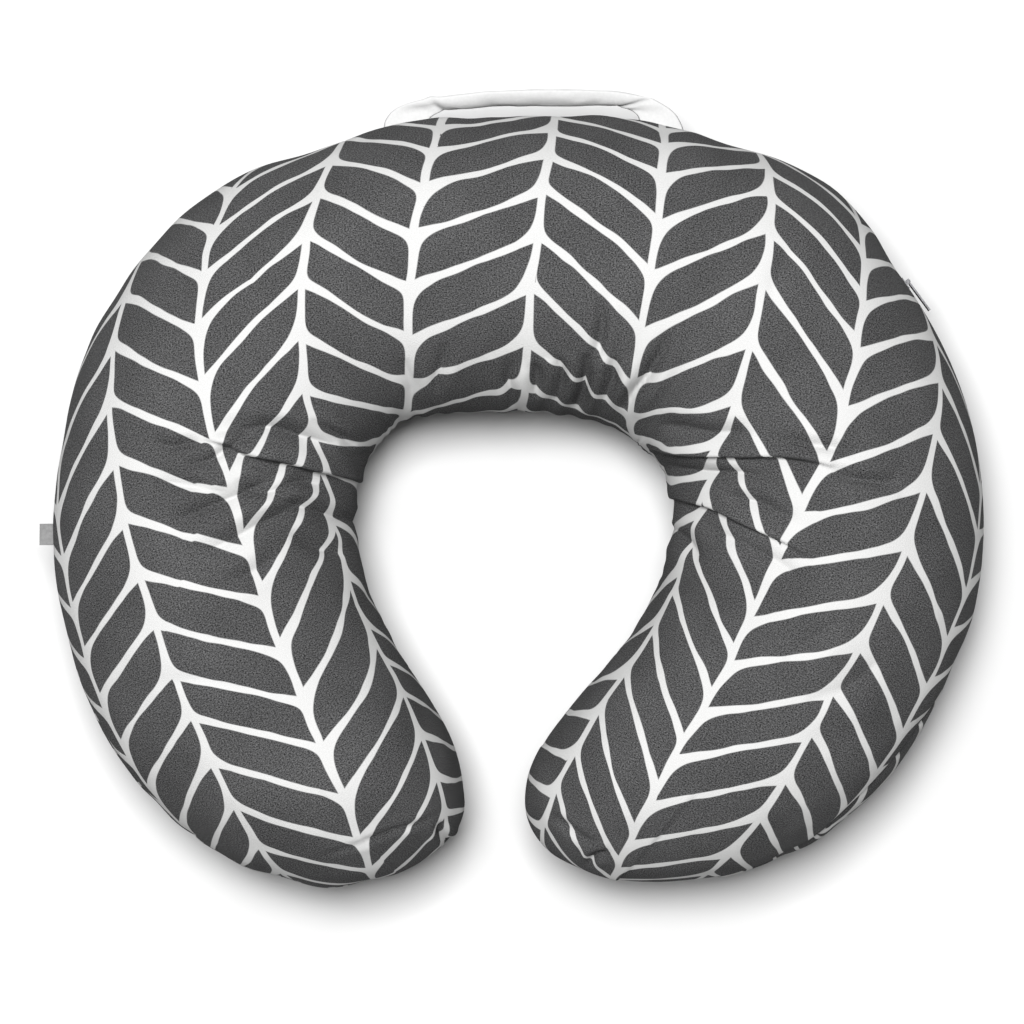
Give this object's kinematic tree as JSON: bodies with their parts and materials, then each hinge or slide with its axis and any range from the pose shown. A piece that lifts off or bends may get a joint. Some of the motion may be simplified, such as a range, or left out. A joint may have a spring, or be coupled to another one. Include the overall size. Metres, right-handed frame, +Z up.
{
  "type": "nursing pillow",
  "caption": "C-shaped stuffed nursing pillow in a zip-off printed cover, with a soft carry strap on its back seam and a blank side tag.",
  "frame": {"origin": "under the middle of the cover's plan, in the plane that the pillow rests on, inside the open middle of the C", "axes": "+Z up from the resting face, +X to the right seen from above with the strap away from the viewer (the zip's side), +Y towards the strap"},
  "size_m": [0.5726, 0.4791, 0.166],
  "materials": {
    "cover_fabric": "matte",
    "zip_tape": "matte",
    "zip_coil": "satin",
    "zip_metal": "satin",
    "strap_cotton": "matte",
    "tag_tape": "satin",
    "label_satin": "satin",
    "liner_fabric": "matte",
    "polyester_fill": "matte"
  },
  "bodies": {
    "cushion": {"cover_top_panel": "cover_fabric", "cover_bottom_panel": "cover_fabric", "zip_tape_upper": "zip_tape", "zip_tape_lower": "zip_tape", "zip_coil_upper": "zip_coil", "zip_coil_lower": "zip_coil", "zip_top_stop": "zip_metal", "zip_bottom_stop": "zip_metal", "care_label": "label_satin", "liner_top_panel": "liner_fabric", "liner_bottom_panel": "liner_fabric", "fibre_fill": "polyester_fill"},
    "zip_slider_body": {"zip_slider": "zip_metal"},
    "zip_pull_body": {"zip_pull": "zip_metal"},
    "strap_body": {"carry_strap": "strap_cotton"},
    "tag_body": {"side_tag": "tag_tape"}
  },
  "joints": [
    {"name": "zip_run", "type": "hinge", "parent": "cushion", "child": "zip_slider_body", "pos_m": [0.037, -0.012, 0.08], "axis": [0, 0, -1], "range_deg": [0, 48.5]},
    {"name": "zip_pull_turn", "type": "hinge", "parent": "zip_slider_body", "child": "zip_pull_body", "pos_m": [0.23613, 0.13481, 0.08], "axis": [0, 0, 1], "range_deg": [0, 165]},
    {"name": "strap_lift", "type": "hinge", "parent": "cushion", "child": "strap_body", "pos_m": [0, 0.2298, 0.08], "axis": [1, 0, 0], "range_deg": [-15, 45], "stiffness_Nm_per_rad": 0.02},
    {"name": "tag_flap", "type": "hinge", "parent": "cushion", "child": "tag_body", "pos_m": [-0.2818, -0.019, 0.08], "axis": [0, 1, 0], "range_deg": [-50, 50], "stiffness_Nm_per_rad": 0.002}
  ]
}
